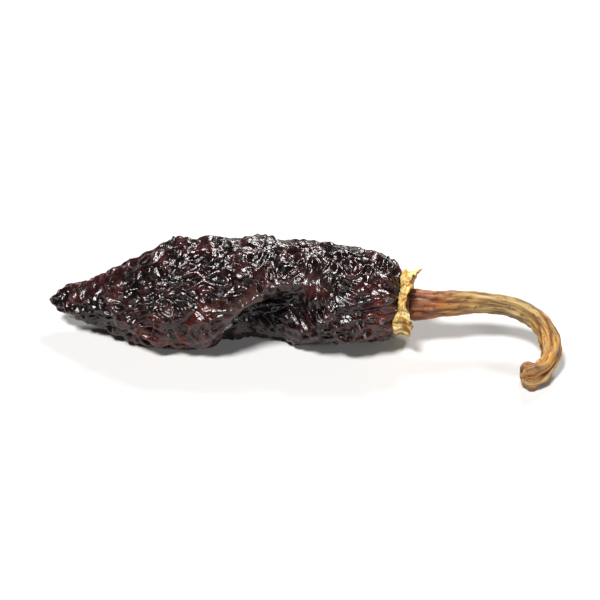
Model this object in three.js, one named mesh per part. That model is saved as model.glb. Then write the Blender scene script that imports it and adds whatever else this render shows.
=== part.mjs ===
// A dried chilli pepper: a wrinkled pod lying on its side, the calyx on its shoulder and its hooked stem.
// Millimetres, +Z up, +X from the pod's tip towards the stem. The origin is on the surface that the pepper
// lies on, under the middle of the whole pepper.
import * as THREE from 'three';

// Pod
const POD_LENGTH = 56; // from the seat under the calyx to the tip
const POD_WIDTH = 20.4; // widest, side to side
const POD_HEIGHT = 14.6; // deepest, top to underside
const SEAT_DIAMETER = 7.6; // the blunt end that the calyx covers
const SETTLE = 0.8; // how much of the underside is pressed flat by lying on it
const TIP_HEIGHT = 4.2; // of the pod's middle line, at the tip
const SIDE_BOW = 4.6; // how far the tip stands to one side of the seat
const BOW_BEND = 3.2; // 0 spreads that bow evenly; the higher, the nearer to the seat it bends
const SIDE_SWAY = 1.3; // how far the middle line swings either side of that bow
const TWIST = 24; // degrees that the pod's flat sides turn between the seat and the tip
const SEAT_YAW = 9; // degrees that the seat faces to the near side
const SHOULDER = 0.12; // share of the length in which the pod changes from the round seat to its own section

// Calyx
const CALYX_DIAMETER = 9.4; // across the hollows between its lobes
const CALYX_LOBES = 5;
const LOBE_LENGTH = 1.6; // how far a lobe's point stands past that
const CALYX_THICKNESS = 0.9;
const CALYX_CURL = 1.2; // how far its rim curls up towards the stem
const CALYX_RIPPLE = 0.25; // how far that rim waves up and down
const HUB_HEIGHT = 2; // of the boss in the middle that the stem grows from
const HUB_FLARE = 0.6; // how far the boss spreads at its foot

// Stem
const STEM_LENGTH = 31.6; // along its curve
const STEM_ROOT_DIAMETER = 4.2;
const STEM_NECK_DIAMETER = 3; // its thinnest
const STEM_END_DIAMETER = 3.3; // the swollen end, where it parted from the plant
const STEM_TAPER = 0.42; // share of the length over which the root narrows to the neck
const STEM_LEAN = 11; // degrees that it leans to the far side of the way that the seat faces
const STEM_STRAIGHT = 0.27; // share of the length before the hook begins
const STEM_HOOK = 176; // degrees that the hook turns through
const HOOK_TIGHTENING = 1.6; // 1 is an even bend; the higher, the tighter the hook towards its end

const CLEARANCE = 0.3; // between neighbouring pieces

// Wrinkles of the drying skin
const FOLD_WAVELENGTH = 7.5;
const FOLD_HEIGHT = 0.6;
const FOLD_GRAIN = 0.75; // 0 runs every way, 1 only along the pod
const FOLD_WAVES = 28;
const FOLD_CREST = 2; // the highest crest, as a share of the usual swing, and then
const FOLD_LEVEL = 0.8; // the level in that swing at which the wall keeps its place

// The pod's outline: share of the length from the seat, and share of the widest radius.
const OUTLINE = [
  [0.012, 0.56],
  [0.05, 0.76],
  [0.12, 0.91],
  [0.21, 1],
  [0.33, 0.95],
  [0.44, 0.95],
  [0.55, 0.98],
  [0.65, 0.9],
  [0.75, 0.7],
  [0.85, 0.45],
  [0.93, 0.27],
  [0.98, 0.13],
  [1, 0],
];

// Hollows where the drying wall fell in. Each is centred at a share of the length and at degrees round the
// pod (0 is the top and 90 the near side). It is an oval, long along the pod and broad round it, turned by
// its slant. Its rim is crisp on one side (0 is the tip's, 90 the next way round) and gentle opposite.
const CRISP_RIM = 0.5; // share of the oval's radius at which a crisp rim has reached the full depth
const GENTLE_RIM = 0.1; // and a gentle one
const HOLLOWS = [
  { along: 0.37, round: 94, long: 0.22, broad: 48, slant: 32, depth: 3.9, crisp: -80 },
  { along: 0.58, round: 24, long: 0.24, broad: 24, slant: -14, depth: 1, crisp: 80 },
  { along: 0.3, round: -38, long: 0.22, broad: 28, slant: 18, depth: 1.4, crisp: 200 },
  { along: 0.6, round: -92, long: 0.22, broad: 40, slant: -24, depth: 1.8, crisp: 150 },
  { along: 0.8, round: 96, long: 0.12, broad: 44, slant: 12, depth: 0.9, crisp: 240 },
  { along: 0.5, round: 184, long: 0.26, broad: 26, slant: 8, depth: 1, crisp: 90 },
];

// Mesh steps
const POD_ROUND = 68;
const POD_ALONG = 52;
const CALYX_ROUND = 60;
const STEM_ROUND = 14;
const STEM_STEPS = 30;

const GOLDEN_ANGLE = Math.PI * (3 - Math.sqrt(5));
const { degToRad, lerp, smoothstep } = THREE.MathUtils;

const meanRadius = (POD_WIDTH + POD_HEIGHT) / 4;
const flattening = (POD_WIDTH - POD_HEIGHT) / (POD_WIDTH + POD_HEIGHT);
const calyxReach = CALYX_DIAMETER / 2 + LOBE_LENGTH;
const bellyHeight = POD_HEIGHT / 2 - SETTLE;
const seatHeight = Math.max(bellyHeight, calyxReach + CLEARANCE);

// The pod's middle line. It starts at the seat, and its share of the length is 1 at the tip.
function middle(share) {
  const bow = SIDE_BOW * (1 - Math.exp(-BOW_BEND * share)) + SIDE_SWAY * Math.sin(2 * Math.PI * share);
  const fall = lerp(seatHeight, bellyHeight, smoothstep(share, 0, 0.3));
  const height = lerp(fall, TIP_HEIGHT, smoothstep(share, 0.5, 1));
  return new THREE.Vector3(-POD_LENGTH * share, bow, height);
}

// The directions towards the seat, to the near side and upwards, square to the middle line.
function frameAt(share) {
  const step = 0.01;
  const outward = middle(share - step).sub(middle(share + step)).normalize();
  const seatward = new THREE.Vector3(1, 0, 0).applyAxisAngle(new THREE.Vector3(0, 0, 1), -degToRad(SEAT_YAW));
  outward.lerp(seatward, 1 - smoothstep(share, 0, SHOULDER)).normalize();
  const near = new THREE.Vector3().crossVectors(outward, new THREE.Vector3(0, 0, 1)).normalize();
  near.applyAxisAngle(outward, degToRad(TWIST) * smoothstep(share, 0, 1));
  const up = new THREE.Vector3().crossVectors(near, outward);
  return { outward, near, up };
}

// An angle in degrees, brought to between -180 and 180.
function wrapped(degrees) {
  return THREE.MathUtils.euclideanModulo(degrees + 180, 360) - 180;
}

// How far a hollow sinks the wall at one point, in millimetres.
function sunk(hollow, share, degrees) {
  const along = (share - hollow.along) * POD_LENGTH;
  const around = degToRad(wrapped(degrees - hollow.round)) * meanRadius;
  const slant = degToRad(hollow.slant);
  const u = (along * Math.cos(slant) + around * Math.sin(slant)) / (hollow.long * POD_LENGTH);
  const w = (around * Math.cos(slant) - along * Math.sin(slant)) / (degToRad(hollow.broad) * meanRadius);
  const side = Math.cos(Math.atan2(w, u) - degToRad(hollow.crisp));
  const rim = lerp(GENTLE_RIM, CRISP_RIM, 0.5 + 0.5 * side);
  return hollow.depth * (1 - smoothstep(Math.hypot(u, w), rim, 1));
}

// Plane waves of one wavelength, spread evenly over all directions.
const waves = Array.from({ length: FOLD_WAVES }, (_, i) => {
  const along = 1 - (2 * i + 1) / FOLD_WAVES;
  const around = Math.sqrt(1 - along * along);
  const turn = i * GOLDEN_ANGLE;
  const scatter = Math.sin(12.9898 * (i + 1)) * 43758.5453;
  return {
    direction: new THREE.Vector3(along, around * Math.sin(turn), around * Math.cos(turn)),
    phase: 2 * Math.PI * (scatter - Math.floor(scatter)),
  };
});

// The height of the folds at a point of the unbent pod. Waves that run into the wall, and waves whose crests
// would ring the pod, count for less.
function foldHeight(point, normal) {
  let sum = 0;
  let power = 0;
  for (const { direction, phase } of waves) {
    const weight = (1 - direction.dot(normal) ** 2) ** 2 * (1 - FOLD_GRAIN * direction.x ** 2);
    sum += weight * Math.cos((2 * Math.PI * direction.dot(point)) / FOLD_WAVELENGTH + phase);
    power += weight * weight;
  }
  return FOLD_HEIGHT * (Math.min(Math.abs(sum) / Math.sqrt(power), FOLD_CREST) - FOLD_LEVEL);
}

// Moves every point of a geometry by a function of its place.
function reshape(geometry, move) {
  const position = geometry.getAttribute('position');
  const point = new THREE.Vector3();
  for (let i = 0; i < position.count; i++) {
    point.fromBufferAttribute(position, i);
    position.setXYZ(i, ...move(point).toArray());
  }
  geometry.deleteAttribute('normal');
  geometry.computeVertexNormals();
  return geometry;
}

function material(color, roughness) {
  return new THREE.MeshStandardMaterial({ color, roughness, metalness: 0 });
}

// The pod is turned as a plain solid along +Y, then wrinkled, flattened and bent over its middle line.
function pod() {
  const outline = new THREE.Path();
  outline.moveTo(0, 0);
  outline.lineTo(SEAT_DIAMETER / 2, 0);
  const knots = OUTLINE.map(([share, width]) => new THREE.Vector2(width * meanRadius, share * POD_LENGTH));
  outline.splineThru(knots);
  const points = outline.getSpacedPoints(POD_ALONG);
  points[0].x = 0;
  points[POD_ALONG].x = 0;
  const turned = new THREE.LatheGeometry(points, POD_ROUND);
  const shaped = reshape(turned, (p) => {
    const radius = Math.hypot(p.x, p.z);
    const share = Math.max(p.y, 0) / POD_LENGTH;
    const angle = Math.atan2(-p.x, p.z); // minus, because the near side lies on the turned solid's -X
    const normal = new THREE.Vector3(0, Math.sin(angle), Math.cos(angle));
    const unbent = new THREE.Vector3(p.y, radius * normal.y, radius * normal.z);
    const body = smoothstep(share, 0, SHOULDER / 2) * Math.min(radius / meanRadius, 1);
    const hollow = HOLLOWS.reduce((depth, h) => depth + sunk(h, share, THREE.MathUtils.radToDeg(angle)), 0);
    const grown = radius + body * (foldHeight(unbent, normal) - hollow);
    const flat = flattening * smoothstep(share, 0, SHOULDER);
    const { near, up } = frameAt(share);
    const placed = middle(share)
      .addScaledVector(near, grown * normal.y * (1 + flat))
      .addScaledVector(up, grown * normal.z * (1 - flat));
    placed.z = Math.max(placed.z, 0);
    return placed;
  });
  const mesh = new THREE.Mesh(shaped, material(0x3a1f1f, 0.4));
  mesh.name = 'pod';
  return mesh;
}

// The calyx is a saucer turned about +Y, open towards the stem, with a boss in the middle and pointed lobes.
function calyx() {
  const radius = CALYX_DIAMETER / 2;
  const hub = STEM_ROOT_DIAMETER / 2;
  const floor = SEAT_DIAMETER / 2;
  const saucer = [
    [0, 0],
    [floor, 0],
    [(floor + radius) / 2, CALYX_CURL * 0.35],
    [radius, CALYX_CURL],
    [radius - CALYX_THICKNESS * 0.3, CALYX_CURL + CALYX_THICKNESS * 0.7],
    [(floor + radius) / 2 - CALYX_THICKNESS * 0.4, CALYX_CURL * 0.35 + CALYX_THICKNESS],
    [floor - CALYX_THICKNESS * 0.5, CALYX_THICKNESS],
    [hub + HUB_FLARE, CALYX_THICKNESS],
    [hub, HUB_HEIGHT],
    [0, HUB_HEIGHT],
  ];
  const turned = new THREE.LatheGeometry(saucer.map(([r, h]) => new THREE.Vector2(r, h)), CALYX_ROUND);
  const shaped = reshape(turned, (p) => {
    const r = Math.hypot(p.x, p.z);
    const angle = Math.atan2(p.x, p.z);
    const rim = smoothstep(r, floor - 1, radius);
    const lobe = Math.abs(Math.cos((CALYX_LOBES * angle) / 2)) ** 5;
    const stretch = r > 0 ? 1 + (rim * lobe * LOBE_LENGTH) / radius : 1;
    const wave = rim * CALYX_RIPPLE * Math.sin(3 * angle + 1);
    return new THREE.Vector3(p.x * stretch, p.y + rim * (1 - lobe) * CALYX_CURL * 0.3 + wave, p.z * stretch);
  });
  const mesh = new THREE.Mesh(shaped, material(0xcf9f5a, 0.6));
  mesh.name = 'calyx';
  return mesh;
}

// The stem's middle line, in the plane of its hook: straight first, then turning ever more tightly.
function hookPoints() {
  const at = new THREE.Vector2();
  const step = STEM_LENGTH / STEM_STEPS;
  return Array.from({ length: STEM_STEPS + 1 }, (_, i) => {
    const here = at.clone();
    const bent = Math.max((i + 0.5) / STEM_STEPS - STEM_STRAIGHT, 0) / (1 - STEM_STRAIGHT);
    const heading = degToRad(STEM_HOOK) * Math.min(bent, 1) ** HOOK_TIGHTENING;
    at.add(new THREE.Vector2(Math.cos(heading), Math.sin(heading)).multiplyScalar(step));
    return here;
  });
}

// The stem's radius at a share of its length: thick at the root, thin in the neck, swollen at the end.
function stemRadius(share) {
  const taper = lerp(STEM_ROOT_DIAMETER, STEM_NECK_DIAMETER, smoothstep(share, 0, STEM_TAPER));
  return lerp(taper, STEM_END_DIAMETER, smoothstep(share, 0.82, 0.97)) / 2;
}

// The stem is swept along +X with its hook turning to -Y. The sweep is then tapered about its middle line.
function stem() {
  const line = new THREE.CatmullRomCurve3(hookPoints().map((p) => new THREE.Vector3(p.x, -p.y, 0)));
  const ring = new THREE.Shape().absarc(0, 0, 1, 0, 2 * Math.PI);
  const swept = new THREE.ExtrudeGeometry(ring, {
    curveSegments: STEM_ROUND / 2,
    steps: STEM_STEPS,
    extrudePath: line,
  });
  const stations = line.getSpacedPoints(STEM_STEPS);
  const shaped = reshape(swept, (p) => {
    const distances = stations.map((s) => s.distanceTo(p));
    const station = distances.indexOf(Math.min(...distances));
    return p.sub(stations[station]).multiplyScalar(stemRadius(station / STEM_STEPS)).add(stations[station]);
  });
  const mesh = new THREE.Mesh(shaped, material(0xb98d4f, 0.6));
  mesh.name = 'stem';
  return mesh;
}

// How far the hook rolls about its root, so that its end comes down to the surface.
function hookRoll() {
  const reach = hookPoints()[STEM_STEPS].y;
  const drop = seatHeight - STEM_END_DIAMETER / 2 - CLEARANCE;
  return Math.asin(THREE.MathUtils.clamp(drop / reach, 0, 1));
}

const { outward, near, up } = frameAt(0);

// The calyx and the stem stand on the seat, which faces the stem's way.
const crown = new THREE.Group();
crown.position.copy(middle(0));
const cap = calyx();
cap.rotation.z = -Math.PI / 2;
cap.position.x = CLEARANCE;
const stalk = stem();
stalk.rotation.set(hookRoll(), 0, degToRad(STEM_LEAN), 'ZYX');
stalk.position.x = HUB_HEIGHT + 2 * CLEARANCE + (Math.sin(degToRad(STEM_LEAN)) * STEM_ROOT_DIAMETER) / 2;
crown.add(cap, stalk);
crown.setRotationFromMatrix(new THREE.Matrix4().makeBasis(outward, near.clone().negate(), up));

const pepper = new THREE.Group();
pepper.add(pod(), crown);
const bounds = new THREE.Box3().setFromObject(pepper, true);
const centre = bounds.getCenter(new THREE.Vector3());
pepper.position.set(-centre.x, -centre.y, -bounds.min.z);

export default pepper;
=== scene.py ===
import math

import bmesh
import bpy
import numpy as np
from mathutils import Matrix, Vector


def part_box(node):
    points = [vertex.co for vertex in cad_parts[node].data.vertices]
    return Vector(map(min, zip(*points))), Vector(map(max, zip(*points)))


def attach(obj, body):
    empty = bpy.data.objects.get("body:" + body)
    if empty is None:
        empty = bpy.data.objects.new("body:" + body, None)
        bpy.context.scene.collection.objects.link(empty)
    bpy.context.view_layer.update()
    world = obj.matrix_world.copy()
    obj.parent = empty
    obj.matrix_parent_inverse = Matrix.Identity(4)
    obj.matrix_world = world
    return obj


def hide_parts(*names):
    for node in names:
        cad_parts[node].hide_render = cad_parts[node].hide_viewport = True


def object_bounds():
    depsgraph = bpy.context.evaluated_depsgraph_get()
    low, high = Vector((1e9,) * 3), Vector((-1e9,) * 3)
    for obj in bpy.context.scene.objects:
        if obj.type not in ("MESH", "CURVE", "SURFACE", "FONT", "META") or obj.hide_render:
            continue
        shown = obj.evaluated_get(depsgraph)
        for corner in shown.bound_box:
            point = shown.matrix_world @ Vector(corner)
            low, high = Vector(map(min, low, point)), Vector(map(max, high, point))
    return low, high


# A dried chilli pepper: a wrinkled pod lying on its side, the ragged calyx on its shoulder and a hooked stem.
# The design is in millimetres, as the solids are, and its pieces are written in metres. Each piece is spun
# about +X as a smooth solid, and its points are then moved into its dried shape. A share of a length is 0 at
# the piece's start and 1 at its end. The pod starts at the seat under the calyx, and the stem at its root.
# Angles round a piece are 0 at the top and 90 degrees on the near side, which is -Y.
MM = 0.001
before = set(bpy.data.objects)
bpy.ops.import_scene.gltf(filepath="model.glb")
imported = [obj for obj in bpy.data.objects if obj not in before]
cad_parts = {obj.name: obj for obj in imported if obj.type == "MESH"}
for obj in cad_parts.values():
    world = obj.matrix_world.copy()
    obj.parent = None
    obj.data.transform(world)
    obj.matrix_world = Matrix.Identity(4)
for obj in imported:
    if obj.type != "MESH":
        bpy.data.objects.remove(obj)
solid_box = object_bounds()

# ---------------------------------------------------------------- the sizes of the solids, repeated here

POD_LENGTH = 56  # from the seat to the tip
POD_WIDTH = 20.4  # widest, side to side
POD_HEIGHT = 14.6  # deepest, top to underside
SEAT_DIAMETER = 7.6  # the blunt end that the calyx covers
SETTLE = 0.8  # how much of the underside is pressed flat by lying on it
TIP_HEIGHT = 4.2  # of the pod's middle line, at the tip
SIDE_BOW = 4.6  # how far the tip stands to one side of the seat
BOW_BEND = 3.2  # 0 spreads that bow evenly; the higher, the nearer to the seat it bends
SIDE_SWAY = 1.3  # how far the middle line swings either side of that bow
TWIST = 24  # degrees that the pod's flat sides turn between the seat and the tip
SEAT_YAW = 9  # degrees that the seat faces to the near side
SHOULDER = 0.12  # share of the length in which the pod changes from the round seat to its own section

CALYX_DIAMETER = 9.4  # across the hollows between its lobes
CALYX_LOBES = 5
LOBE_LENGTH = 1.6  # how far a lobe's point stands past that
CALYX_CURL = 1.2  # how far its rim curls up towards the stem
HUB_HEIGHT = 2  # of the boss in the middle that the stem grows from

STEM_LENGTH = 31.6  # along its curve
STEM_ROOT_DIAMETER = 4.2
STEM_NECK_DIAMETER = 3  # its thinnest
STEM_END_DIAMETER = 3.3  # the swollen end, where it parted from the plant
STEM_TAPER = 0.42  # share of the length over which the root narrows to the neck
STEM_LEAN = 11  # degrees that it leans to the far side of the way that the seat faces
STEM_STRAIGHT = 0.27  # share of the length before the hook begins
STEM_HOOK = 176  # degrees that the hook turns through
HOOK_TIGHTENING = 1.6  # 1 is an even bend; the higher, the tighter the hook towards its end

CLEARANCE = 0.3  # between neighbouring solids

FOLD_WAVELENGTH = 7.5
FOLD_HEIGHT = 0.6
FOLD_GRAIN = 0.75  # 0 runs every way, 1 only along the pod
FOLD_WAVES = 28
FOLD_CREST = 2  # the highest crest, as a share of the usual swing
FOLD_LEVEL = 0.8  # the level in that swing at which the wall keeps its place

# The pod's outline: share of the length from the seat, and share of the widest radius
OUTLINE = [
    (0.012, 0.56), (0.05, 0.76), (0.12, 0.91), (0.21, 1), (0.33, 0.95), (0.44, 0.95), (0.55, 0.98),
    (0.65, 0.9), (0.75, 0.7), (0.85, 0.45), (0.93, 0.27), (0.98, 0.13), (1, 0),
]

# Hollows where the drying wall fell in. Each is an oval centred at a share along the pod and at degrees round
# it, with its half length as a share of the pod's, its half breadth and slant in degrees, its depth in
# millimetres, and the bearing of its crisp rim in degrees (0 is the tip's side, 90 the next way round).
HOLLOWS = [
    (0.37, 94, 0.22, 48, 32, 3.9, -80),
    (0.58, 24, 0.24, 24, -14, 1, 80),
    (0.3, -38, 0.22, 28, 18, 1.4, 200),
    (0.6, -92, 0.22, 40, -24, 1.8, 150),
    (0.8, 96, 0.12, 44, 12, 0.9, 240),
    (0.5, 184, 0.26, 26, 8, 1, 90),
]
GENTLE_RIM = 0.1  # share of the oval's radius at which a gentle rim has reached the full depth

MEAN_RADIUS = (POD_WIDTH + POD_HEIGHT) / 4
FLATTENING = (POD_WIDTH - POD_HEIGHT) / (POD_WIDTH + POD_HEIGHT)
BELLY_HEIGHT = POD_HEIGHT / 2 - SETTLE
SEAT_HEIGHT = max(BELLY_HEIGHT, CALYX_DIAMETER / 2 + LOBE_LENGTH + CLEARANCE)

# ---------------------------------------------------------------- what only the visible pieces have

REST_SOFTNESS = 0.15  # below this height the surface that the pepper lies on flattens it

# The skin's fine wrinkles: wavelength, height, waves, grain, the width of a ridge, or 0 for rounded folds
# with creases between them, and how much the size counts in the crest mark
WRINKLES = [
    (4.6, 0.42, 60, 0.5, 0, 0.25),
    (2.35, 0.46, 90, 0.35, 0.6, 0.5),
    (1.4, 0.14, 90, 0.1, 0, 0.25),
]
RIDGE_LEVEL, RIDGE_TOP = 0.4, 1  # the level of a ridge that keeps the wall in place, and its highest
CREASE_LEVEL, CREASE_TOP = 0.8, 1.3  # the same for rounded folds
CREASE_SOFTNESS, CREASE_ROUNDING = 0.02, 0.42  # how blunt a crease is, and how round a fold
WRINKLE_LEVEL = 4  # how firmly the wrinkles' waves keep to the skin
WANDER_WAVELENGTH, WANDER_REACH = 2.6, 0.22  # how the wrinkles wander, in wavelengths of their own
DRIFT_WAVES = 18
BUSY_WAVELENGTH, BUSY_WAVES = 13, 24  # of the slow change between deep and shallow wrinkles
BUSY_MEAN, BUSY_SWING, BUSY_SHARPNESS = 0.85, 0.3, 1.5

CRISP_RIM = 0.62  # share of the oval's radius at which a crisp rim has reached the full depth
DEEP = 4  # the depth of a hollow that has the full lip and the darkest painted shade
LIP_HEIGHT, LIP_WIDTH, LIP_REACH = 0.5, 0.16, 1.05  # of the raised skin along a crisp rim
LIP_CALM = 0.6  # how far the wrinkles fade on it

PLEATS, PLEAT_SWAY = 9, 0.7  # the pleats under the calyx, and how unevenly they stand
PLEAT_HEIGHT, PLEAT_SOFTNESS, PLEAT_LEVEL = 0.9, 0.04, 0.6
PLEAT_RADIUS = 6  # the pod's radius at which they are deepest
PLEAT_START, PLEAT_END = 0.04, 0.16  # shares along the pod between which they fade
SEAT_CALM = (-1, 0.6)  # from the seat's edge, where the wrinkles begin
TIP_CALM = 2.2  # the tip's radius at which they end

# Where the skin is red: along, round, long, broad, amount
RED_PATCHES = [
    (0.66, 100, 0.13, 40, 1.0),
    (0.04, 90, 0.05, 70, 0.8),
    (0.45, 60, 0.12, 22, 0.35),
    (0.5, -100, 0.2, 40, 0.8),
    (0.9, -60, 0.1, 70, 0.5),
    (0.25, 200, 0.15, 50, 0.7),
]

CALYX_LEAN = 0.08  # how far the collar leans towards the stem at its top, for each millimetre up
LOBE_SPREAD, LOBE_LIFT, LOBE_BLUNTNESS = 0.7, 0.75, 0.12
TEARS, TEAR_SPREAD, TEAR_LIFT = 13, 0.12, 0.2
FRAYS, FRAY_LIFT = 31, 0.08
SHARP = 0.02  # the bluntness of the tears and frays
RIBS, RIB_HEIGHT = 16, 0.3
VEINS, VEIN_HEIGHT = 44, 0.1
RIDGES_LEVEL = 0.6  # the level of ribs and veins that keeps the wall in place
CRUMPLE_WAVELENGTH, CRUMPLE_SPREAD, CRUMPLE_LIFT = 2.4, 0.16, 0.1
PITTING_WAVELENGTH, PITTING_HEIGHT = 0.8, 0.04

ROOT_DEPTH = 1.8  # how far the stem's root reaches into the calyx
RIB_PAIRS, GROOVE_PAIRS = 2.5, 5.5  # half as many as the stem has ribs and grooves
STEM_TWIST = 1.6  # how far they turn along the stem, in radians
FIBRE_WAVELENGTH, LUMP_WAVELENGTH, KNOT_WAVELENGTH = 0.8, 2.6, 1.5
FIBRE_STRETCH, LUMP_STRETCH, KNOT_STRETCH = 0.16, 0.55, 0.9  # the less, the longer along the stem
ROOT_FLARE, ROOT_FLARE_REACH = 0.06, 1.1
WAIST, WAIST_AT, WAIST_REACH = 0.15, 0.88, 0.05  # the narrowing before the stem's foot
FOOT, FOOT_AT, FOOT_REACH = 0.16, 0.985, 0.03  # and the foot
HEEL_HEIGHT, HEEL_TURN = 0.45, 1.2  # the foot's one-sided heel
DOME_STEPS = 8

# Where each field of waves starts in the scatter of phases, so that no two are alike
WANDER_START, WRINKLE_START, BUSY_START, BUSY_STEP = 7, 31, 200, 9
CRUMPLE_START, PITTING_START = 300, 340
FIBRE_START, LUMP_START, KNOT_START = 60, 90, 130

# Mesh steps
POD_ROUND, POD_ALONG = 300, 320
CALYX_ROUND, CALYX_ALONG = 240, 60
STEM_ROUND, STEM_ALONG = 72, 300


# ---------------------------------------------------------------- small sums

def mix(a, b, t):
    """a where t is 0 and b where it is 1."""
    return a + (b - a) * t


def smooth(x, low, high):
    """0 up to low, 1 from high, and an even slope without corners between them."""
    t = np.clip((np.asarray(x, float) - low) / (high - low), 0, 1)
    return t * t * (3 - 2 * t)


def bell(x, centre, reach):
    """1 at the centre, falling away on both sides."""
    return np.exp(-((x - centre) / reach) ** 2)


def unit(v):
    """Vectors with their lengths made 1."""
    return v / np.linalg.norm(v, axis=-1, keepdims=True)


def turned_about(v, axis, angle):
    """Vectors turned about unit axes, one angle each."""
    c, s = np.cos(angle)[..., None], np.sin(angle)[..., None]
    return v * c + np.cross(axis, v) * s + axis * (v * axis).sum(-1, keepdims=True) * (1 - c)


def wave_bank(count, start=0):
    """Directions spread evenly over the sphere, and a fixed scatter of phases."""
    i = np.arange(count)
    along = 1 - (2 * i + 1) / count
    around = np.sqrt(1 - along ** 2)
    turn = i * math.pi * (3 - math.sqrt(5))
    scatter = np.sin(12.9898 * (i + 1 + start)) * 43758.5453
    directions = np.stack([along, around * np.sin(turn), around * np.cos(turn)], 1)
    return directions, 2 * np.pi * (scatter - np.floor(scatter))


def waves(points, normals, wavelength, bank, grain=0.0, level=2):
    """A field of random waves of one length. Waves that run into the surface count for less, the more so with
    a higher level, and with grain so do waves along +X. Its usual swing is 1."""
    directions, phases = bank
    weight = (1 - (normals @ directions.T) ** 2) ** level * (1 - grain * directions[:, 0] ** 2)
    field = weight * np.cos(2 * np.pi / wavelength * (points @ directions.T) + phases)
    return field.sum(1) / np.sqrt((weight ** 2).sum(1))


def drift(points, wavelength, reach, start):
    """Points pushed about by slow random waves, so that a pattern on them wanders. Each wave pushes the way
    that another one runs. The square root of half their number is their usual sum, which is 3."""
    directions, phases = wave_bank(DRIFT_WAVES, start)
    swing = np.cos(2 * np.pi / wavelength * (points @ directions.T) + phases)
    return points + reach * (swing @ np.roll(directions, 5, axis=0)) / math.sqrt(DRIFT_WAVES / 2)


def radius_and_angle(points):
    """How far points stand from +X, and where they stand round it."""
    return np.hypot(points[:, 1], points[:, 2]), np.arctan2(points[:, 1], points[:, 2])


# ---------------------------------------------------------------- the shapes that the solids share

def middle(share):
    """The pod's middle line, from the seat to the tip."""
    bow = SIDE_BOW * (1 - np.exp(-BOW_BEND * share)) + SIDE_SWAY * np.sin(2 * np.pi * share)
    fall = mix(SEAT_HEIGHT, BELLY_HEIGHT, smooth(share, 0, 0.3))
    return np.stack([-POD_LENGTH * share, bow, mix(fall, TIP_HEIGHT, smooth(share, 0.5, 1))], -1)


def frame_at(share):
    """The directions towards the seat, to the near side and upwards, square to the middle line."""
    outward = unit(middle(share - 0.01) - middle(share + 0.01))
    yaw = -math.radians(SEAT_YAW)
    seatward = np.array([math.cos(yaw), math.sin(yaw), 0])
    outward = unit(mix(outward, seatward, (1 - smooth(share, 0, SHOULDER))[..., None]))
    near = unit(np.cross(outward, np.array([0, 0, 1.0])))
    near = turned_about(near, outward, math.radians(TWIST) * smooth(share, 0, 1))
    return outward, near, np.cross(near, outward)


def oval(share, degrees, along, round_, long, broad, slant=0.0):
    """Where points stand in an oval on the pod: the distance from its middle, 1 at its rim, and the
    bearing."""
    x = (share - along) * POD_LENGTH
    y = np.radians((degrees - round_ + 180) % 360 - 180) * MEAN_RADIUS
    c, s = math.cos(math.radians(slant)), math.sin(math.radians(slant))
    u = (x * c + y * s) / (long * POD_LENGTH)
    w = (y * c - x * s) / (math.radians(broad) * MEAN_RADIUS)
    return np.hypot(u, w), np.arctan2(w, u)


def sunk(hollow, share, degrees):
    """How far one hollow sinks the wall, and how far its lip stands up."""
    along, round_, long, broad, slant, depth, crisp = hollow
    reach, bearing = oval(share, degrees, along, round_, long, broad, slant)
    sharp = 0.5 + 0.5 * np.cos(bearing - math.radians(crisp))
    rim = mix(GENTLE_RIM, CRISP_RIM, sharp)
    lip = LIP_HEIGHT * depth / DEEP * sharp ** 2 * bell(reach, LIP_REACH, LIP_WIDTH)
    return depth * (1 - smooth((reach - rim) / (1 - rim), 0, 1)), lip


def hook_line():
    """The stem's middle line in the plane of its hook, and the direction that it runs in."""
    share = (np.arange(STEM_ALONG) + 0.5) / STEM_ALONG
    hooked = np.clip(share - STEM_STRAIGHT, 0, 1) / (1 - STEM_STRAIGHT)
    heading = math.radians(STEM_HOOK) * hooked ** HOOK_TIGHTENING
    run = np.stack([np.cos(heading), np.sin(heading)], 1)
    places = np.vstack([[0, 0], np.cumsum(run, 0) * STEM_LENGTH / STEM_ALONG])
    return places, np.append(heading, heading[-1])


def hook_roll():
    """How far the hook is rolled down about the stem's root, so that its end nears the surface."""
    places, _ = hook_line()
    drop = SEAT_HEIGHT - STEM_END_DIAMETER / 2 - CLEARANCE
    return math.asin(min(max(drop / places[-1, 1], 0), 1))


# ---------------------------------------------------------------- mesh work

def spun(profile, steps):
    """A closed solid spun about +X from (along, radius) points that start and end on the axis. Each of its
    points keeps its station, which is its place in the profile's list."""
    bm = bmesh.new()
    station = bm.verts.layers.float.new("station")
    corners = [bm.verts.new((along, 0, radius)) for along, radius in profile]
    for n, corner in enumerate(corners):
        corner[station] = n
    lines = [bm.edges.new(pair) for pair in zip(corners, corners[1:])]
    bmesh.ops.spin(
        bm, geom=corners + lines, cent=(0, 0, 0), axis=(1, 0, 0), angle=2 * math.pi, steps=steps,
        use_merge=True,
    )
    bmesh.ops.remove_doubles(bm, verts=bm.verts, dist=1e-4)
    bmesh.ops.recalc_face_normals(bm, faces=bm.faces)
    return bm


def facing(profile):
    """The outward direction at each station, as shares of along and of radius."""
    run = unit(np.gradient(np.asarray(profile, float), axis=0))
    return np.stack([-run[:, 1], run[:, 0]], 1)


def settled(height):
    """Heights that end softly at the surface that the pepper lies on."""
    sinking = np.minimum(height / REST_SOFTNESS - 1, 0)
    return np.where(sinking < 0, REST_SOFTNESS * np.exp(sinking), height)


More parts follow.
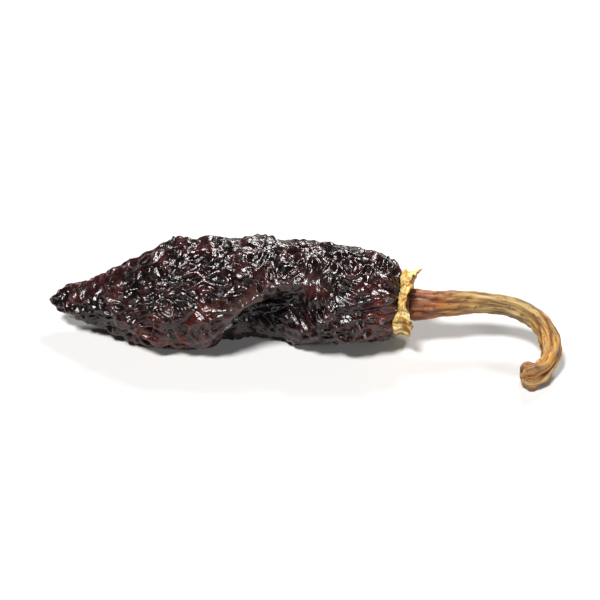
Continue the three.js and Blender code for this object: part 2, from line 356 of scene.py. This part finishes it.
def piece(name, bm, shape, skin, node):
    """Moves a spun solid's points by shape, which takes and gives millimetres, and adds the piece to the
    pepper. Shape also gives the marks that the skin reads, one value or direction a point."""
    mesh = bpy.data.meshes.new(name)
    bm.to_mesh(mesh)
    bm.free()
    points, station = np.empty(len(mesh.vertices) * 3), np.empty(len(mesh.vertices))
    mesh.vertices.foreach_get("co", points)
    mesh.attributes["station"].data.foreach_get("value", station)
    placed, marks = shape(points.reshape(-1, 3), np.rint(station).astype(int))
    placed[:, 2] = settled(placed[:, 2])
    mesh.vertices.foreach_set("co", (placed * MM).ravel())
    mesh.attributes.remove(mesh.attributes["station"])
    for mark, values in marks.items():
        kind, field = ("FLOAT", "value") if values.ndim == 1 else ("FLOAT_VECTOR", "vector")
        mesh.attributes.new(mark, kind, "POINT").data.foreach_set(field, values.astype(np.float32).ravel())
    mesh.polygons.foreach_set("use_smooth", [True] * len(mesh.polygons))
    mesh.materials.append(skin)
    mesh.update()
    made = bpy.data.objects.new(name, mesh)
    bpy.context.scene.collection.objects.link(made)
    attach(made, "root")
    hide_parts(node)
    return made


def even_steps(points, count):
    """count + 1 places at even steps along a line of points."""
    points = np.asarray(points, float)
    reach = np.append(0, np.cumsum(np.linalg.norm(np.diff(points, axis=0), axis=1)))
    wanted = np.linspace(0, reach[-1], count + 1)
    return np.stack([np.interp(wanted, reach, points[:, k]) for k in range(points.shape[1])], 1)


def through(knots, steps=24):
    """A smooth line through points, as a uniform Catmull-Rom spline draws it."""
    k = np.asarray(knots, float)
    k = np.vstack([k[:1], k, k[-1:]])
    t = np.linspace(0, 1, steps, endpoint=False)[:, None]
    runs = []
    for a, b, c, d in zip(k, k[1:], k[2:], k[3:]):
        v0, v1 = (c - a) / 2, (d - b) / 2
        cubic, square = 2 * b - 2 * c + v0 + v1, -3 * b + 3 * c - 2 * v0 - v1
        runs.append(cubic * t ** 3 + square * t ** 2 + v0 * t + b)
    return np.vstack(runs + [k[-1:]])


# ---------------------------------------------------------------- the pod

set_down = np.zeros(3)  # how far pod_shape moves the pod, so that it lies in its solid's box


def pod_profile():
    """The pod's outline as a solid of revolution, from the middle of the seat to the tip."""
    knots = [(0, SEAT_DIAMETER / 2)]
    knots += [(share * POD_LENGTH, width * MEAN_RADIUS) for share, width in OUTLINE]
    profile = even_steps(np.vstack([[(0, 0)], through(knots)]), POD_ALONG)
    profile[0, 1] = profile[-1, 1] = 0
    return profile


def wrinkled(points, normals):
    """The height of the fine wrinkles, and a level from 0 in the creases to 1 on the crests."""
    wandering = points
    height, level = np.zeros(len(points)), np.zeros(len(points))
    for n, (wavelength, tall, count, grain, ridge, say) in enumerate(WRINKLES):
        slow, far = WANDER_WAVELENGTH * wavelength, WANDER_REACH * wavelength
        wandering = drift(wandering, slow, far, WANDER_START + n)
        bank = wave_bank(count, WRINKLE_START * (n + 1))
        swing = waves(wandering, normals, wavelength, bank, grain, WRINKLE_LEVEL)
        change = waves(points, normals, BUSY_WAVELENGTH, wave_bank(BUSY_WAVES, BUSY_START + BUSY_STEP * n))
        busy = BUSY_MEAN + BUSY_SWING * np.tanh(BUSY_SHARPNESS * change)
        if ridge:
            crest, keeps, top = bell(swing, 0, ridge), RIDGE_LEVEL, RIDGE_TOP
        else:
            crest, keeps, top = (swing ** 2 + CREASE_SOFTNESS) ** CREASE_ROUNDING, CREASE_LEVEL, CREASE_TOP
        height += tall * (crest - keeps) * busy
        level += np.minimum(crest / top, 1) * say
    return height, level


def pleated(share, radius, angle):
    """The height of the pleats that draw the skin in under the calyx."""
    turn = np.sin(PLEATS / 2 * angle + PLEAT_SWAY * np.sin(2 * angle))
    pleat = np.sqrt(turn ** 2 + PLEAT_SOFTNESS) - PLEAT_LEVEL
    near_seat = 1 - smooth(share, PLEAT_START, PLEAT_END)
    return PLEAT_HEIGHT * pleat * smooth(radius, SEAT_DIAMETER / 2, PLEAT_RADIUS) * near_seat


def pod_shape(points, station):
    """The collapsed, folded and wrinkled pod, lying on its side."""
    out_along, out_radius = facing(pod_profile())[station].T
    radius, angle = radius_and_angle(points)
    share, degrees = np.clip(points[:, 0], 0, None) / POD_LENGTH, np.degrees(angle)
    normals = np.stack([np.zeros_like(angle), np.sin(angle), np.cos(angle)], 1)
    unbent = np.stack([points[:, 0], radius * normals[:, 1], radius * normals[:, 2]], 1)
    body = smooth(share, 0, SHOULDER / 2) * np.minimum(radius / MEAN_RADIUS, 1)

    sinks = [sunk(hollow, share, degrees) for hollow in HOLLOWS]
    depth, lip = sum(s[0] for s in sinks), sum(s[1] for s in sinks)
    folds = np.abs(waves(unbent, normals, FOLD_WAVELENGTH, wave_bank(FOLD_WAVES), FOLD_GRAIN))
    coarse = body * (FOLD_HEIGHT * (np.minimum(folds, FOLD_CREST) - FOLD_LEVEL) - depth)

    leaning = np.stack([out_along, out_radius * normals[:, 1], out_radius * normals[:, 2]], 1)
    fine, level = wrinkled(unbent, leaning)
    edge = np.minimum(lip / LIP_HEIGHT, 1)
    from_seat = smooth(radius, SEAT_DIAMETER / 2 + SEAT_CALM[0], SEAT_DIAMETER / 2 + SEAT_CALM[1])
    fine *= (1 - LIP_CALM * edge) * np.where(share > 0.5, smooth(radius, 0, TIP_CALM), from_seat)
    fine += pleated(share, radius, angle) + body * lip

    outward, near, up = frame_at(share)
    flat = FLATTENING * smooth(share, 0, SHOULDER)

    def laid(size, lift):
        """The points bent along the middle line, with their own radius and a lift towards the tip."""
        side = (size * normals[:, 1] * (1 + flat))[:, None] * near
        top = (size * normals[:, 2] * (1 - flat))[:, None] * up
        return middle(share) + side + top - lift[:, None] * outward

    plain = laid(radius + coarse, np.zeros_like(radius))
    low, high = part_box("pod")
    set_down[0] = low.x / MM - plain[:, 0].min()
    set_down[1] = (low.y + high.y) / 2 / MM - (plain[:, 1].min() + plain[:, 1].max()) / 2
    placed = laid(radius + coarse + fine * out_radius, fine * out_along) + set_down
    red = sum(amount * np.exp(-oval(share, degrees, *patch)[0] ** 2) for *patch, amount in RED_PATCHES)
    return placed, {"crest": level, "edge": edge, "sunk": depth / DEEP, "red": red}


# ---------------------------------------------------------------- the calyx

def calyx_profile():
    """The collar in section: over the pod's shoulder, out to the thin free rim, down into the cup and up the
    boss."""
    rim, seat, hub = CALYX_DIAMETER / 2, SEAT_DIAMETER / 2, STEM_ROOT_DIAMETER / 2
    return even_steps(through([
        (-0.25, 0), (-0.25, seat - 0.6), (-0.95, seat + 0.3), (-0.95, rim), (-0.5, rim + 0.4),
        (0.1, rim + 0.15), (0.7, rim + 0.2), (CALYX_CURL + 0.2, rim + 0.75), (CALYX_CURL + 0.35, rim + 0.7),
        (CALYX_CURL + 0.1, rim + 0.3), (0.85, rim - 0.3), (0.6, seat), (0.65, hub + 0.9), (1.1, hub + 0.3),
        (HUB_HEIGHT, hub), (HUB_HEIGHT, 0),
    ]), CALYX_ALONG)


def teeth(angle, count, sway, turn, blunt):
    """Teeth round the collar, from 0 between them to about 1 at their tips, unevenly spaced."""
    uneven = sway * np.sin(2 * angle + turn)
    return 1.05 - np.sqrt(np.sin(count / 2 * angle + uneven + turn) ** 2 + blunt)


def calyx_shape(points, station):
    """The ragged collar, in its own place with +X out of the seat. band is 1 on the collar and 0 on what the
    pod and the stem hide, upper is its free side and lower the side on the pod. It tapers at its top and its
    foot."""
    radius, angle = radius_and_angle(points)
    band = smooth(radius, SEAT_DIAMETER / 2 - 0.6, CALYX_DIAMETER / 2)
    upper = band * smooth(points[:, 0], 0.3, CALYX_CURL + 0.3)
    lower = band * (1 - smooth(points[:, 0], -0.8, 0.2))
    top, foot = smooth(np.cos(angle + 0.6), 0.5, 1), smooth(np.cos(angle - 2.4), 0.6, 1)

    lobe = teeth(angle, CALYX_LOBES, 0.5, 1.14, LOBE_BLUNTNESS)
    torn = teeth(angle, TEARS, 0.9, 2.1, SHARP) ** 2
    frayed = teeth(angle, FRAYS, 1.2, 0.7, SHARP)
    ribs = np.abs(np.sin(RIBS / 2 * angle + 0.8 * np.sin(3 * angle))) ** 0.8
    veins = np.abs(np.sin(VEINS / 2 * angle + 2.2 * np.sin(2 * angle + 1) + 0.7 * points[:, 0]))
    axis = np.tile([1.0, 0, 0], (len(points), 1))
    crumple = waves(points, axis, CRUMPLE_WAVELENGTH, wave_bank(30, CRUMPLE_START))
    pitting = waves(points, axis, PITTING_WAVELENGTH, wave_bank(40, PITTING_START))

    spread = upper * (LOBE_SPREAD * lobe - 0.3 + TEAR_SPREAD * torn) * (1 - 0.9 * top)
    spread += lower * (0.3 * lobe - 0.1) + foot * (0.7 * lower - 0.6 * upper) - 0.15 * top * upper
    spread += band * (RIB_HEIGHT * (ribs - RIDGES_LEVEL) + VEIN_HEIGHT * (veins - RIDGES_LEVEL)
                      + CRUMPLE_SPREAD * crumple + PITTING_HEIGHT * pitting)
    lift = 0.25 * np.sin(3 * angle + 1) + LOBE_LIFT * lobe + TEAR_LIFT * torn + FRAY_LIFT * frayed - 0.1
    lift *= upper
    lift -= upper * (0.9 * top + 0.3 * foot) - 0.6 * lower * top
    lift -= lower * (0.2 * np.sin(7 * angle + 1) + 0.15 * frayed)
    lift += band * (CALYX_LEAN * points[:, 2] + CRUMPLE_LIFT * crumple)

    grown = radius + spread
    placed = np.stack([points[:, 0] + lift, grown * np.sin(angle), grown * np.cos(angle)], 1)
    # The cup mark is the inside of the cup round the stem's root, which is painted dark brown as a painted
    # shadow.
    inside = 1 - smooth(radius, STEM_ROOT_DIAMETER / 2 + 0.9, CALYX_DIAMETER / 2)
    # Browned on the free rim, most where it frays, a little on the side on the pod, and browner towards the
    # top as painted shade.
    burnt_and_top_shade = upper * (0.38 + 0.3 * frayed + 0.2 * np.cos(angle + 0.6)) + 0.2 * lower
    marks = {"burnt_and_top_shade": burnt_and_top_shade, "ribs": 0.6 * ribs + 0.4 * veins, "cup": smooth(points[:, 0], 0.2, 0.5) * inside}
    return placed, marks


# ---------------------------------------------------------------- the stem

def stem_radius(share):
    """From the wide root to the thin neck and the swollen end."""
    taper = mix(STEM_ROOT_DIAMETER, STEM_NECK_DIAMETER, smooth(share, 0, STEM_TAPER))
    return mix(taper, STEM_END_DIAMETER, smooth(share, 0.82, 0.97)) / 2


def stem_profile():
    """From the root to the domed and dented end."""
    share = np.linspace(0, 1, STEM_ALONG + 1)
    end = stem_radius(1.0)
    dome = through([
        (STEM_LENGTH, end), (STEM_LENGTH + 0.5, end * 0.8), (STEM_LENGTH + 0.65, end * 0.55),
        (STEM_LENGTH + 0.2, end * 0.3), (STEM_LENGTH, 0),
    ], DOME_STEPS)[1:]
    root = [(-ROOT_DEPTH, 0)] + [(-ROOT_DEPTH * t, STEM_ROOT_DIAMETER / 2) for t in (1, 0.75, 0.5, 0.25)]
    return np.vstack([root, np.stack([share * STEM_LENGTH, stem_radius(share)], 1), dome])


def bark_height(points, normals, share, angle):
    """How far the bark stands out, as a share of the stem's radius, and its ribs and grooves."""
    twisted = angle + STEM_TWIST * share + 0.25 * np.sin(9 * share)
    rib = np.abs(np.sin(RIB_PAIRS * twisted)) ** 0.7 - 0.65
    groove = np.abs(np.sin(GROOVE_PAIRS * twisted + 4 * share)) - 0.6
    fibre = waves(points * [FIBRE_STRETCH, 1, 1], normals, FIBRE_WAVELENGTH, wave_bank(48, FIBRE_START))
    lumps = waves(points * [LUMP_STRETCH, 1, 1], normals, LUMP_WAVELENGTH, wave_bank(30, LUMP_START))
    knots = waves(points * [KNOT_STRETCH, 1, 1], normals, KNOT_WAVELENGTH, wave_bank(36, KNOT_START))
    bend, knob = smooth(share, 0.5, 0.7), smooth(share, 0.86, 0.95)
    height = (0.16 - 0.06 * knob) * rib + 0.09 * groove + 0.03 * fibre
    height += (0.03 + 0.05 * bend + 0.08 * knob) * lumps + (0.02 + 0.03 * bend + 0.05 * knob) * knots
    return height, rib, groove


def stem_shape(points, station):
    """The hooked stem, in its own place with +X along its root. The hook turns to the near side."""
    places, heading = hook_line()
    radius, angle = radius_and_angle(points)
    share = np.clip(points[:, 0] / STEM_LENGTH, 0, 1)
    steps = np.arange(STEM_ALONG + 1)
    centre = np.stack([np.interp(share * STEM_ALONG, steps, places[:, k]) for k in (0, 1)], 1)
    way = np.interp(share * STEM_ALONG, steps, heading)
    past = points[:, 0] - share * STEM_LENGTH
    centre += past[:, None] * np.stack([np.cos(way), np.sin(way)], 1)

    normals = np.stack([np.zeros_like(angle), np.sin(angle), np.cos(angle)], 1)
    height, rib, groove = bark_height(points, normals, share, angle)
    size = radius * (1 + height)
    size *= 1 + ROOT_FLARE * np.exp(-np.maximum(points[:, 0], 0) / ROOT_FLARE_REACH)
    size *= 1 - WAIST * bell(share, WAIST_AT, WAIST_REACH) + FOOT * bell(share, FOOT_AT, FOOT_REACH)
    heel = np.maximum(np.cos(angle + HEEL_TURN), 0) ** 3 * (radius > 0.5)
    size += HEEL_HEIGHT * smooth(share, 0.93, 0.99) * heel
    wander = np.stack([np.sin(11 * share + 1) * 0.22, np.sin(7.5 * share) * 0.3], 1)
    wander *= smooth(share, 0.08, 0.3)[:, None]

    side = size * np.sin(angle) + wander[:, 1]
    placed = np.stack([
        centre[:, 0] + side * np.sin(way),
        -(centre[:, 1] - side * np.cos(way)),
        size * np.cos(angle) + wander[:, 0],
    ], 1)
    grain = np.stack([radius * np.sin(angle), radius * np.cos(angle), points[:, 0] * 0.12], 1) * MM
    return placed, {"along": share, "rib": rib + 0.5 * groove, "grain": grain}


# ---------------------------------------------------------------- materials

class Finish:
    """A material's nodes, with short ways to make the few kinds that the skins use. Scales are in waves a
    metre, and heights in metres."""

    def __init__(self, name):
        self.material = bpy.data.materials.new(name)
        self.material.use_nodes = True
        self.nodes = self.material.node_tree.nodes
        self.links = self.material.node_tree.links
        self.shader = self.nodes["Principled BSDF"]
        self.place = self.nodes.new("ShaderNodeTexCoord").outputs["Object"]

    def put(self, socket, value):
        """A link where value is another node's output, and a plain setting where it isn't."""
        if isinstance(value, bpy.types.NodeSocket):
            self.links.new(value, socket)
        else:
            socket.default_value = value

    def mark(self, name, output="Fac"):
        """One of the marks that the piece's shape left on its points."""
        read = self.nodes.new("ShaderNodeAttribute")
        read.attribute_name = name
        return read.outputs[output]

    def noise(self, scale, detail=4.0, distortion=0.0, at=None):
        """Soft random blotches, at the piece's own place or at one given."""
        texture = self.nodes.new("ShaderNodeTexNoise")
        texture.inputs["Scale"].default_value = scale
        texture.inputs["Detail"].default_value = detail
        texture.inputs["Distortion"].default_value = distortion
        self.put(texture.inputs["Vector"], at or self.place)
        return texture.outputs["Fac"]

    def ramp(self, value, *stops):
        """stops are (place, level) or (place, (red, green, blue))."""
        band = self.nodes.new("ShaderNodeValToRGB")
        for n, (at, colour) in enumerate(stops):
            stop = band.color_ramp.elements[n] if n < 2 else band.color_ramp.elements.new(at)
            stop.position = at
            stop.color = (*colour, 1) if isinstance(colour, tuple) else (colour, colour, colour, 1)
        self.put(band.inputs["Fac"], value)
        return band.outputs["Color"]

    def sum(self, kind, first, second):
        """Two values joined by a kind of sum, ADD or MULTIPLY."""
        join = self.nodes.new("ShaderNodeMath")
        join.operation = kind
        self.put(join.inputs[0], first)
        self.put(join.inputs[1], second)
        return join.outputs[0]

    def blend(self, amount, first, second, kind="MIX"):
        """The first colour where amount is 0 and the second where it is 1."""
        join = self.nodes.new("ShaderNodeMix")
        join.data_type = "RGBA"
        join.blend_type = kind
        for socket, value in zip((join.inputs[0], join.inputs[6], join.inputs[7]), (amount, first, second)):
            self.put(socket, (*value, 1) if isinstance(value, tuple) else value)
        return join.outputs[2]

    def between(self, value, low, high, first=0.0, last=1.0):
        """first where value is low and last where it is high, held past both."""
        span = self.nodes.new("ShaderNodeMapRange")
        names = ("Value", "From Min", "From Max", "To Min", "To Max")
        for name, given in zip(names, (value, low, high, first, last)):
            self.put(span.inputs[name], given)
        return span.outputs["Result"]

    def bump(self, height, deep, strength, under=None):
        """Fine relief, on top of another one where under is given."""
        raised = self.nodes.new("ShaderNodeBump")
        raised.inputs["Strength"].default_value = strength
        raised.inputs["Distance"].default_value = deep
        self.put(raised.inputs["Height"], height)
        if under:
            self.put(raised.inputs["Normal"], under)
        return raised.outputs["Normal"]


# Skin colours: the crest colour is partly dust and partly a painted highlight, the lip colour a painted
# sheen, the crease and hollow colours painted shade, the rib colour a painted highlight, and the groove
# colour dark streaks with painted shade.
DUST_AND_SHEEN_CREST = (0.13, 0.08, 0.07)
PAINTED_LIT_LIP = (0.07, 0.038, 0.034)
PAINTED_CREASE_SHADE = (0.002, 0.001, 0.0015)
PAINTED_HOLLOW_SHADE = (0.003, 0.0015, 0.003)
CALYX_FURROW = (0.3, 0.12, 0.022)
PAINTED_RIB_HIGHLIGHT = (0.52, 0.38, 0.16)
GROOVE_STREAK_AND_SHADE = (0.07, 0.022, 0.007)
DARK_SPECK = (0.06, 0.028, 0.01)


def pod_skin():
    """Glossy near-black skin, oxblood patches, dusty crests with a painted sheen, painted shade in creases.
    """
    f = Finish("pod_skin")
    crest, red = f.mark("crest"), f.mark("red")
    dark = f.ramp(
        f.noise(300, 5),
        (0.38, (0.002, 0.0006, 0.001)), (0.5, (0.011, 0.0024, 0.003)), (0.64, (0.036, 0.008, 0.008)),
    )
    oxblood = f.ramp(
        f.noise(520, 5),
        (0.36, (0.016, 0.0025, 0.0025)), (0.5, (0.06, 0.009, 0.006)), (0.64, (0.15, 0.028, 0.014)),
    )
    patchy = f.sum("ADD", f.sum("MULTIPLY", f.noise(130, 4), 1.2), f.sum("MULTIPLY", red, 0.7))
    skin = f.blend(f.between(patchy, 0.75, 1.35), dark, oxblood)
    # Paler crests in patches: partly dust and wear, partly a painted highlight on the ridge tops.
    dust_and_sheen = f.sum("MULTIPLY", f.between(crest, 0.5, 0.8), f.between(f.noise(900, 3), 0.48, 0.7))
    skin = f.blend(f.sum("MULTIPLY", dust_and_sheen, 0.4), skin, DUST_AND_SHEEN_CREST)
    # Painted sheen: the raised lip along each crisp rim is painted lighter, where light catches it.
    skin = f.blend(f.sum("MULTIPLY", f.mark("edge"), 0.6), skin, PAINTED_LIT_LIP)
    # Painted shade: the creases between the wrinkles are painted near black.
    skin = f.blend(f.between(crest, 0.2, 0.42, 0.9, 0.0), skin, PAINTED_CREASE_SHADE)
    # Painted shade: the deep hollows are painted near black.
    skin = f.blend(f.between(f.mark("sunk"), 0.3, 0.9, 0.0, 0.7), skin, PAINTED_HOLLOW_SHADE)
    f.put(f.shader.inputs["Base Color"], skin)
    dull = f.between(f.noise(700, 3), 0.35, 0.65, 0.11, 0.24)
    dull = f.sum("ADD", dull, f.between(crest, 0.2, 0.7, 0.06, 0.0))
    f.put(f.shader.inputs["Roughness"], dull)
    f.shader.inputs["Specular IOR Level"].default_value = 0.54
    pebbled = f.bump(f.noise(1500, 3, 0.4), 0.00017, 0.55)
    f.put(f.shader.inputs["Normal"], f.bump(f.noise(5200, 2), 0.00006, 0.5, pebbled))
    return f.material


def calyx_tissue():
    """Dry golden tissue, brown in its furrows and torn edge, with painted shade at its top and in the cup."""
    f = Finish("calyx_tissue")
    gold = f.ramp(
        f.noise(520, 5, 0.6),
        (0.36, (0.28, 0.12, 0.02)), (0.46, (0.56, 0.34, 0.09)),
        (0.55, (0.78, 0.56, 0.18)), (0.66, (0.94, 0.8, 0.38)),
    )
    brown = f.ramp(f.noise(900, 4), (0.4, (0.035, 0.009, 0.003)), (0.6, (0.2, 0.065, 0.014)))
    skin = f.blend(f.between(f.mark("ribs"), 0.25, 0.6, 0.75, 0.0), gold, CALYX_FURROW)
    skin = f.blend(f.sum("MULTIPLY", f.between(f.noise(1900, 3), 0.58, 0.68), 0.6), skin, brown)
    # Browned at the torn rim, with painted shade towards the collar's top.
    burnt_and_top_shade = f.sum("ADD", f.mark("burnt_and_top_shade"), f.between(f.noise(650, 4), 0.35, 0.65, -0.55, 0.45))
    skin = f.blend(f.between(burnt_and_top_shade, 0.55, 0.95), skin, brown)
    # Painted shadow: the inside of the cup round the stem's root is painted dark brown.
    skin = f.blend(f.mark("cup"), skin, brown)
    f.put(f.shader.inputs["Base Color"], skin)
    f.put(f.shader.inputs["Roughness"], f.between(f.noise(800), 0.3, 0.7, 0.5, 0.75))
    f.put(f.shader.inputs["Normal"], f.bump(f.noise(2400, 4, 0.8), 0.00028, 0.8))
    return f.material


def stem_bark():
    """Bark from an orange-brown root through olive ochre to an orange-gold bend, streaked along its grain."""
    f = Finish("stem_bark")
    grain = f.mark("grain", "Vector")
    along = f.sum("ADD", f.mark("along"), f.between(f.noise(900, 3, at=grain), 0.3, 0.7, -0.07, 0.07))
    tone = f.ramp(
        along,
        (0.02, (0.22, 0.06, 0.012)), (0.12, (0.3, 0.12, 0.022)), (0.26, (0.28, 0.165, 0.05)),
        (0.56, (0.27, 0.18, 0.05)), (0.68, (0.32, 0.15, 0.022)), (0.86, (0.4, 0.2, 0.03)),
        (0.99, (0.26, 0.12, 0.03)),
    )
    streak = f.ramp(
        f.noise(2600, 4, 0.3, grain),
        (0.36, (0.3, 0.2, 0.14)), (0.48, (0.85, 0.8, 0.75)), (0.62, (1.45, 1.4, 1.25)),
    )
    bark = f.blend(1.0, tone, streak, "MULTIPLY")
    rib = f.mark("rib")
    # Painted highlights: the rib crests are painted pale in patches, less near the root.
    patchy = f.between(f.noise(1400, 3, 0.3, grain), 0.45, 0.6, 0.1, 0.75)
    rib_highlight = f.sum("MULTIPLY", f.between(rib, 0.1, 0.4), patchy)
    rib_highlight = f.sum("MULTIPLY", rib_highlight, f.between(along, 0.1, 0.3, 0.25, 1.0))
    bark = f.blend(rib_highlight, bark, PAINTED_RIB_HIGHLIGHT)
    # Grooves painted dark: dark streaks along the grain together with painted shade in the grooves.
    bark = f.blend(f.between(rib, -0.8, -0.1, 0.85, 0.0), bark, GROOVE_STREAK_AND_SHADE)
    bark = f.blend(f.between(f.noise(1700, 3), 0.6, 0.68, 0.0, 0.75), bark, DARK_SPECK)
    f.put(f.shader.inputs["Base Color"], bark)
    f.put(f.shader.inputs["Roughness"], f.between(f.noise(900, at=grain), 0.3, 0.7, 0.42, 0.7))
    f.put(f.shader.inputs["Normal"], f.bump(f.noise(3600, 4, 0.2, grain), 0.0003, 0.8))
    return f.material


def pale_floor():
    """A matt near-white surface with very faint clouds."""
    f = Finish("pale_floor")
    f.put(f.shader.inputs["Base Color"], f.ramp(f.noise(6, 2), (0.3, 0.62), (0.7, 0.65)))
    f.shader.inputs["Roughness"].default_value = 0.75
    return f.material


# ---------------------------------------------------------------- the pepper

pod = piece("pod_skin_piece", spun(pod_profile(), POD_ROUND), pod_shape, pod_skin(), "pod")

# The crown's own axes have +X out of the seat, +Y to the far side and +Z up
outward, near, up = frame_at(np.array(0.0))
crown_turn = np.stack([outward, -near, up], 1)
crown_place = middle(np.array(0.0)) + set_down

lean = math.radians(STEM_LEAN)
stem_turn = np.array(Matrix.Rotation(lean, 3, "Z") @ Matrix.Rotation(hook_roll(), 3, "X"))
stem_root = HUB_HEIGHT + 2 * CLEARANCE + math.sin(lean) * STEM_ROOT_DIAMETER / 2


def on_crown(shape, lift, turn=np.eye(3)):
    """A shape turned in the crown's axes, lifted out of the seat and put in its place on the pod."""
    def shaped(points, station):
        placed, marks = shape(points, station)
        placed = placed @ turn.T + np.array([lift, 0, 0])
        return placed @ crown_turn.T + crown_place, marks
    return shaped


calyx = piece(
    "calyx_cup", spun(calyx_profile(), CALYX_ROUND), on_crown(calyx_shape, CLEARANCE),
    calyx_tissue(), "calyx",
)
stem = piece(
    "stem_hook", spun(stem_profile(), STEM_ROUND), on_crown(stem_shape, stem_root, stem_turn),
    stem_bark(), "stem",
)

# ---------------------------------------------------------------- the floor, the camera and the light

FLOOR_SIZE = 3.0
bm = bmesh.new()
bmesh.ops.create_grid(bm, x_segments=1, y_segments=1, size=FLOOR_SIZE / 2)
floor_mesh = bpy.data.meshes.new("floor")
bm.to_mesh(floor_mesh)
bm.free()
floor = bpy.data.objects.new("floor", floor_mesh)
bpy.context.scene.collection.objects.link(floor)
floor_mesh.materials.append(pale_floor())

CAMERA_ELEVATION = 35
CAMERA_DISTANCE = 0.222
CAMERA_LENS = 85
target = (solid_box[0] + solid_box[1]) / 2
tilt = math.radians(CAMERA_ELEVATION)
view = bpy.data.cameras.new("camera")
view.lens = CAMERA_LENS
view.clip_start = 0.01
camera = bpy.data.objects.new("camera", view)
camera.location = target + CAMERA_DISTANCE * Vector((0, -math.cos(tilt), math.sin(tilt)))
camera.rotation_euler = (math.radians(90) - tilt, 0, 0)
bpy.context.scene.collection.objects.link(camera)
bpy.context.scene.camera = camera


def soft_light(name, kind, place, power, **shape):
    """A light that faces the pepper."""
    lamp = bpy.data.lights.new(name, kind)
    lamp.energy = power
    for setting, value in shape.items():
        setattr(lamp, setting, value)
    made = bpy.data.objects.new(name, lamp)
    made.location = place
    made.rotation_euler = (Vector(place) - target).to_track_quat("Z", "Y").to_euler()
    bpy.context.scene.collection.objects.link(made)


WARM = (1, 0.98, 0.96)
DIM_SURROUNDINGS = 0.04  # keeps the skin dark between its glints
soft_light("key", "SUN", (-0.16, -0.14, 0.5), 4.6, angle=math.radians(15), color=WARM)
soft_light("back", "AREA", (0.14, 0.42, 0.36), 2.4, size=0.15, color=WARM)
soft_light("fill", "AREA", (0.4, -0.34, 0.26), 0.9, size=0.12)
bpy.context.scene.view_settings.view_transform = "Standard"
world = bpy.data.worlds.new("studio")
world.use_nodes = True
background = world.node_tree.nodes["Background"]
background.inputs["Color"].default_value = (1, 1, 1, 1)
background.inputs["Strength"].default_value = DIM_SURROUNDINGS
bpy.context.scene.world = world
